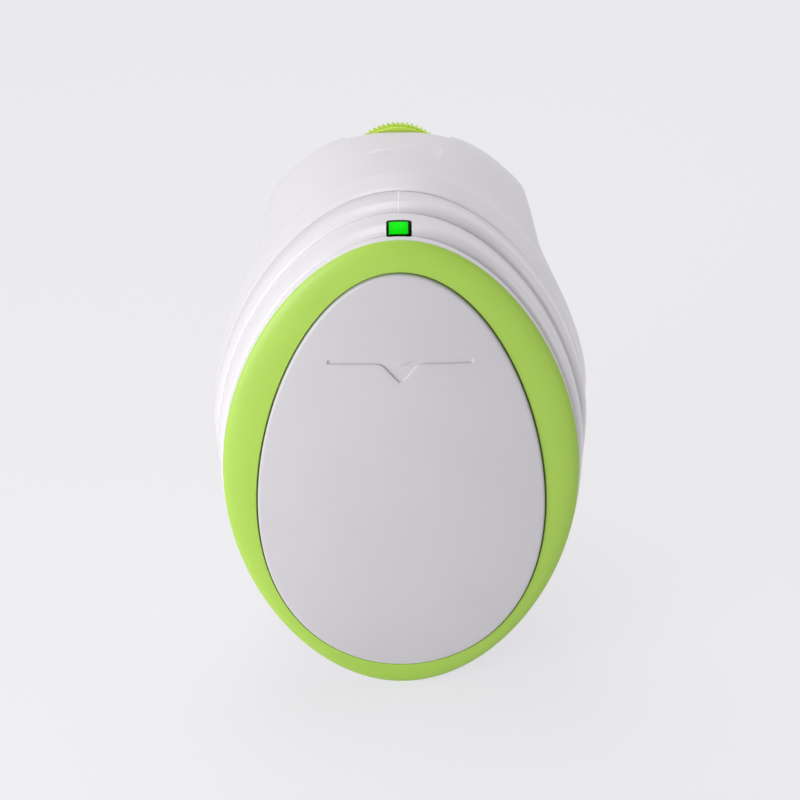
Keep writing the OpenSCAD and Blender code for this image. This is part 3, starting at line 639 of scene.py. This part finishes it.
# %% [markdown]
# ## The probe
# The probe's shell is turned: a flange with a rounded edge and a face that bulges gently, so that it
# presses gel ahead of it with no air under it. A soft grey ring seals it on the body.

# %% Probe shell and seal
def turned_piece(name, profile, count=192, first_pole=None, last_pole=None, loop=False):
    """Rings round the probe's axis, from pairs of radius and depth."""
    rings = [[point(r * math.cos(math.radians(a)), d, PROBE_Z + r * math.sin(math.radians(a))) for a in turned(count)]
             for r, d in profile]
    return loft(name, rings, loop, first_pole, last_pole)


SEAL, FACE = 61.8, 64.5
probe_profile = [(10, FACE - 1), (18.9, FACE - 1), (18.9, SEAL - 3.4), (20.8, SEAL - 3.4), (20.8, SEAL), (22.9, SEAL),
                 (23.0, SEAL + 0.1)]
probe_profile += [(22 + math.cos(math.radians(t)), FACE - 1 + math.sin(math.radians(t))) for t in range(0, 90, 9)]
probe_profile += [(22 * (1 - u), FACE + 1.5 * (1 - (1 - u) ** 2)) for u in steps(24)[:-1]]
probe = turned_piece("probe_skin", probe_profile, first_pole=point(0, FACE - 1, PROBE_Z),
                     last_pole=point(0, FACE + 1.5, PROBE_Z))
seal = turned_piece("seal_skin", [(20.9, BODY), (22.5, BODY), (22.7, BODY + 0.2), (22.7, SEAL - 0.2), (22.5, SEAL),
                                  (20.9, SEAL)], loop=True)
for piece, node, finish in ((probe, "probe_shell", "probe_plastic"), (seal, "probe_seal", "seal_rubber")):
    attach(piece, "case")
    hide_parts(node)

# %% [markdown]
# ## Fine lines on the mouldings
# The two halves of the collar's mould leave a hair of plastic along its crown, laid on as a thin slip, painted whiter
# than the collar as a painted highlight.
# Behind it, a shallow wedge by the wheel shows which way is louder. It is sunk like the thumb mark.

# %% Parting line and volume wedge
def crown_height(x, depth):
    angle = 90.0
    for _ in range(30):
        angle += (section(BODY_OUT, depth, 0, angle)[0] - abs(x)) * 1.5
    return section(BODY_OUT, depth, 0, angle)[1]


seam_route = [(depth, out) for out, depth in profile if depth > CREST1]


def seam_section(depth, out):
    z = head(out, 90)[1]
    return [point(-0.13, depth, z - 0.05), point(0.13, depth, z - 0.05),
            point(0.07, depth, z + 0.05), point(-0.07, depth, z + 0.05)]


seam_sections = [seam_section(depth, out) for depth, out in seam_route]
seam = loft("parting_line", seam_sections)
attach(seam, "case")

wedge_line = rounded([(-6.3, 33.9), (-3, 33.65), (-0.1, 33.5), (3, 33.3), (6.9, 32.9), (7.2, 32.95), (8.0, 36.4), (7.4, 37.4),
                      (6.6, 37.5), (2.8, 36.75), (-1, 35.6), (-6.2, 34.0)], 2)


def wedge_ring(amount, rise):
    return [point(x, d - 0.8, crown_height(x, d - 0.8) + rise) for x, d in grown(wedge_line, amount)]


wedge_cutter = close_ends(loft("wedge_cutter", [
    wedge_ring(0.12, 0.3), wedge_ring(0.1, 0.02), wedge_ring(0.03, -0.01), wedge_ring(0.0, -0.04), wedge_ring(-0.08, -0.07),
]))
subtract(rear, wedge_cutter)
finish_mesh(rear)

# %% [markdown]
# ## Colours and nodes
# Colours are written as sRGB hex values, as in a paint program, and one function turns them into the
# linear values that a shader needs. Another adds a node with its settings and its links.

# %% Helpers for materials
def linear(code):
    channels = [int(code[k:k + 2], 16) / 255 for k in (1, 3, 5)]
    return tuple(c / 12.92 if c <= 0.04045 else ((c + 0.055) / 1.055) ** 2.4 for c in channels) + (1.0,)


def add_node(tree, kind, links=None, **settings):
    """A shader node, with attributes from the keywords and inputs set or linked by name or number."""
    node = tree.nodes.new("ShaderNode" + kind)
    for key, value in settings.items():
        setattr(node, key, value)
    for key, value in (links or {}).items():
        if isinstance(value, bpy.types.NodeSocket):
            tree.links.new(value, node.inputs[key])
        else:
            node.inputs[key].default_value = value
    return node


def new_material(name):
    material = bpy.data.materials.new(name)
    material.use_nodes = True
    material.node_tree.nodes.clear()
    return material, material.node_tree


def paint(material, *pieces):
    for piece in pieces:
        piece.data.materials.clear()
        piece.data.materials.append(material)


# %% [markdown]
# ## Moulded plastics
# The case is ABS, moulded against steel that was lightly spark-eroded: a satin skin with a fine grain,
# whose highlights are broad. A grain of a tenth of a millimetre is too fine to show here, so it is
# drawn at about 0.35 mm and kept shallow. A slower, fainter change of tone stands for the flow of
# the melt. ABS has an index of refraction of about 1.54.

# %% Moulded plastic
def moulded(name, code, roughness, grain_mm=0.35, grain_depth_mm=0.001, drift=0.04, code_2=None):
    material, tree = new_material(name)
    place = add_node(tree, "TexCoord").outputs["Object"]
    grain = add_node(tree, "TexNoise", {"Vector": place, "Scale": 1 / (grain_mm * MM), "Detail": 2.0})
    slow = add_node(tree, "TexNoise", {"Vector": place, "Scale": 1 / (14 * MM), "Detail": 3.0, "Roughness": 0.6})
    low, high = linear(code_2 or code), linear(code)
    low = tuple(c * (1 - drift) for c in low[:3]) + (1.0,)
    ramp = add_node(tree, "ValToRGB", {"Fac": slow.outputs["Fac"]})
    ramp.color_ramp.elements[0].position, ramp.color_ramp.elements[0].color = 0.2, low
    ramp.color_ramp.elements[1].position, ramp.color_ramp.elements[1].color = 0.8, high
    gloss = add_node(tree, "MapRange", {"Value": slow.outputs["Fac"], "From Min": 0.2, "From Max": 0.8,
                                        "To Min": roughness - 0.02, "To Max": roughness + 0.02})
    bump = add_node(tree, "Bump", {"Height": grain.outputs["Fac"], "Distance": grain_depth_mm * MM, "Strength": 1.0})
    shader = add_node(tree, "BsdfPrincipled", {"Base Color": ramp.outputs["Color"], "Roughness": gloss.outputs["Result"],
                                               "IOR": 1.54, "Normal": bump.outputs["Normal"]})
    add_node(tree, "OutputMaterial", {"Surface": shader.outputs["BSDF"]})
    return material


white_abs = moulded("satin white moulded ABS", "#E6E3E7", 0.30)
# Painted shade: the cover gets the case's white a little darker, because its face turns forward and catches less light
# than the tops.
cover_painted_shade_abs = moulded("satin white moulded ABS, cover darkened as painted shade", "#D4D1D6", 0.32)
green_abs = moulded("satin lime green moulded ABS", "#B0D953", 0.40, drift=0.05)
wheel_abs = moulded("satin lime green moulded ABS, wheel", "#CDEB4E", 0.55)
probe_abs = moulded("smooth pale grey moulded ABS", "#D2D3D8", 0.30, grain_depth_mm=0.002)
seal_rubber = moulded("grey moulded silicone rubber", "#A9ABAF", 0.62, grain_mm=0.5, grain_depth_mm=0.01)
# Painted highlight: the parting line and the window's lip get a whiter white than the collar, so that they show as thin
# bright lines.
painted_highlight_abs = moulded("white moulded ABS brightened as a painted highlight", "#FAF9FB", 0.5)
paint(white_abs, rear, collar)
paint(painted_highlight_abs, seam, window_lip)
paint(cover_painted_shade_abs, cover)
paint(green_abs, bezel)
paint(wheel_abs, wheel)
paint(probe_abs, probe)
paint(seal_rubber, seal)

# %% [markdown]
# ## The lit window
# Behind the window a green lamp is on. The core glows, a little unevenly, because the lamp is a point
# behind clear plastic. The frame stays dark, as the edges of a clear moulding do when nothing behind
# them is lit.

# %% Window finishes
material, tree = new_material("clear acrylic lit green from behind")
place = add_node(tree, "TexCoord").outputs["Object"]
centred = add_node(tree, "Mapping", {"Vector": place, "Location": (0.0003, 0.0262, -0.0889)})
distance = add_node(tree, "VectorMath", {0: centred.outputs["Vector"]}, operation="LENGTH")
fade = add_node(tree, "MapRange", {"Value": distance.outputs["Value"], "From Min": 0.9 * MM, "From Max": 2.3 * MM,
                                   "To Min": 1.0, "To Max": 0.55})
glow = add_node(tree, "Mix", {0: fade.outputs["Result"], 6: linear("#00B400"), 7: linear("#04F004")}, data_type="RGBA")
shader = add_node(tree, "BsdfPrincipled", {"Base Color": linear("#021402"), "Roughness": 0.5, "IOR": 1.12,
                                           "Emission Strength": 1.0})
tree.links.new(glow.outputs[2], shader.inputs["Emission Color"])
add_node(tree, "OutputMaterial", {"Surface": shader.outputs["BSDF"]})
lit_acrylic = material
material, tree = new_material("dark edge of the clear acrylic")
shader = add_node(tree, "BsdfPrincipled", {"Base Color": linear("#051205"), "Roughness": 0.5, "IOR": 1.12})
add_node(tree, "OutputMaterial", {"Surface": shader.outputs["BSDF"]})
dark_edge = material
paint(lit_acrylic, window_core)
paint(dark_edge, window_frame)

# %% [markdown]
# ## What the cover hides
# Under the cover lie the battery in its tray, the clip with its two leads, and the screws. These keep
# their construction solids and get real finishes: a painted steel jacket, PVC sleeves, zinc plate.

# %% Inner finishes
def plated(name, code, roughness):
    """Plated or drawn metal: fine brush lines along X, half a millimetre apart as drawn."""
    material, tree = new_material(name)
    place = add_node(tree, "TexCoord").outputs["Object"]
    stretched = add_node(tree, "Mapping", {"Vector": place, "Scale": (0.15, 1, 1)})
    lines = add_node(tree, "TexNoise", {"Vector": stretched.outputs["Vector"], "Scale": 1 / (0.5 * MM), "Detail": 2.0})
    gloss = add_node(tree, "MapRange", {"Value": lines.outputs["Fac"], "To Min": roughness - 0.08, "To Max": roughness + 0.1})
    shader = add_node(tree, "BsdfPrincipled", {"Base Color": linear(code), "Metallic": 1.0, "Roughness": gloss.outputs["Result"]})
    add_node(tree, "OutputMaterial", {"Surface": shader.outputs["BSDF"]})
    return material


zinc = plated("zinc plated steel", "#C4C5C8", 0.32)
can = plated("drawn aluminium", "#CFD0D4", 0.28)
black_abs = moulded("black moulded ABS", "#1B1B1D", 0.45)
tray_abs = moulded("natural white moulded ABS", "#DAD8DA", 0.5, grain_depth_mm=0.006)
red_sleeve = moulded("red PVC sleeve", "#B4201A", 0.38, grain_depth_mm=0.002)
black_sleeve = moulded("black PVC sleeve", "#161617", 0.38, grain_depth_mm=0.002)
clear_sleeve = moulded("grey PVC sleeve", "#C2C2BC", 0.38, grain_depth_mm=0.002)
jacket = moulded("dark painted steel jacket", "#3A4048", 0.3, grain_mm=0.8, grain_depth_mm=0.001, drift=0.15)
laminate = moulded("green solder mask on glass laminate", "#1F5A36", 0.28, grain_mm=0.6, drift=0.2)
pad_rubber = moulded("cast damping rubber", "#4A4A4E", 0.7, grain_mm=0.6, grain_depth_mm=0.02)
ceramic = moulded("silvered piezo ceramic", "#BFB493", 0.35, grain_depth_mm=0.003)
lamp_epoxy = moulded("green cast epoxy", "#4FD25A", 0.15, grain_depth_mm=0.0005)
FINISHES = {
    "battery_tray": tray_abs, "battery": jacket, "battery_clip": black_abs, "red_lead": red_sleeve,
    "black_lead": black_sleeve, "main_board": laminate, "board_chips": black_abs, "board_capacitors": can,
    "volume_control": black_abs, "volume_spindle": zinc, "wheel_screw": zinc, "status_lamp": lamp_epoxy,
    "lamp_leads": clear_sleeve, "earphone_socket_left": black_abs, "earphone_socket_right": black_abs,
    "transmit_crystal": ceramic, "receive_crystal": ceramic, "damping_pad": pad_rubber,
    "probe_cable": black_sleeve, "case_screws": zinc, "bezel": green_abs, "battery_cover": cover_painted_shade_abs,
    "rear_housing": white_abs, "collar_housing": white_abs, "volume_wheel": wheel_abs, "lamp_window": lit_acrylic,
    "probe_shell": probe_abs, "probe_seal": seal_rubber,
}
for name, finish in FINISHES.items():
    paint(finish, nodes[name])
print("finished", len(FINISHES), "construction nodes")

# %% [markdown]
# ## Floor and surroundings
# The object stands on a pale sweep that runs out to the same pale tone on all sides. To the camera the
# floor is mostly its own even tone, and partly a lit surface, so that a faint shadow stays under the
# object. To all other rays it is a plain pale floor that throws light back up.

# %% Floor and world
PAPER = "#F0EFF2"


def seen(tree):
    """1 for a ray from the camera, or one that a gloss or a clear body sends on."""
    rays = add_node(tree, "LightPath")
    first = add_node(tree, "Math", {0: rays.outputs["Is Camera Ray"], 1: rays.outputs["Is Glossy Ray"]}, operation="MAXIMUM")
    return add_node(tree, "Math", {0: first.outputs[0], 1: rays.outputs["Is Transmission Ray"]}, operation="MAXIMUM").outputs[0]


deselect()
bpy.ops.mesh.primitive_plane_add(size=8)
floor = bpy.context.object
floor.name = "floor"
material, tree = new_material("matt pale paper")
LIT_SHARE = 0.25
tone = linear(PAPER)
own = add_node(tree, "Emission", {"Color": tone, "Strength": 1 - LIT_SHARE})
lit = add_node(tree, "BsdfDiffuse", {"Color": tuple(c * LIT_SHARE for c in tone[:3]) + (1.0,)})
both = add_node(tree, "AddShader", {0: own.outputs[0], 1: lit.outputs[0]})
plain = add_node(tree, "BsdfDiffuse", {"Color": tone})
mixed = add_node(tree, "MixShader", {0: seen(tree), 1: plain.outputs[0], 2: both.outputs[0]})
add_node(tree, "OutputMaterial", {"Surface": mixed.outputs[0]})
paint(material, floor)

AMBIENT = 0.35
world = bpy.data.worlds.new("pale studio")
bpy.context.scene.world = world
world.use_nodes = True
tree = world.node_tree
tree.nodes.clear()
around = add_node(tree, "Background", {"Color": (1.0, 0.985, 1.0, 1.0), "Strength": AMBIENT})
backdrop = add_node(tree, "Background", {"Color": tone, "Strength": 1.0})
mixed = add_node(tree, "MixShader", {0: seen(tree), 1: around.outputs[0], 2: backdrop.outputs[0]})
add_node(tree, "OutputWorld", {"Surface": mixed.outputs[0]})

# %% [markdown]
# ## Light
# The main light is a large soft panel at the left, almost beside the face, so that the shallow dome
# darkens from left to right. A weaker panel overhead opens the treads of the collar.

# %% Lamps
def panel(name, place, wide, high, power, target=(0, 0, 0.05)):
    light = bpy.data.lights.new(name, "AREA")
    light.shape, light.size, light.size_y, light.energy = "RECTANGLE", wide, high, power
    lamp = bpy.data.objects.new(name, light)
    bpy.context.scene.collection.objects.link(lamp)
    lamp.location = place
    lamp.rotation_euler = (Vector(target) - Vector(place)).to_track_quat("-Z", "Y").to_euler()
    return lamp


panel("left panel", (-0.23, -0.22, 0.10), 0.2, 0.2, 0.62)
panel("top panel", (-0.1, 0.15, 0.6), 0.4, 0.4, 1.3)
panel("back strip", (0, 0.5, 0.62), 0.8, 0.15, 0.6)
panel("right panel", (0.45, 0.12, 0.10), 0.3, 0.3, 0.4)

# %% [markdown]
# ## Camera
# The photograph was taken from straight ahead and 28 degrees above, from about 60 cm. Its lens was
# long. A hair of roll is kept, and a small shift sets the object a little above the middle.

# %% Camera
DISTANCE, ELEVATION, YAW, ROLL = 0.6, math.radians(28), math.radians(-0.12), math.radians(-0.5)
camera_data = bpy.data.cameras.new("camera")
camera_data.lens, camera_data.sensor_width = 147.4, 36.0
camera_data.shift_x, camera_data.shift_y = 0.0, -0.02
camera = bpy.data.objects.new("camera", camera_data)
bpy.context.scene.collection.objects.link(camera)
aim = Vector((0, 0, 0.045))
camera.location = aim + DISTANCE * Vector((math.sin(YAW) * math.cos(ELEVATION), -math.cos(YAW) * math.cos(ELEVATION), math.sin(ELEVATION)))
look = (aim - camera.location).to_track_quat("-Z", "Y").to_matrix().to_4x4()
camera.rotation_euler = (look @ Matrix.Rotation(ROLL, 4, "Z")).to_euler()
bpy.context.scene.camera = camera

# %% [markdown]
# ## The view
# The colours are shown as they are, with the Standard view.

# %% Finish
bpy.context.scene.view_settings.view_transform = "Standard"
bpy.context.view_layer.update()
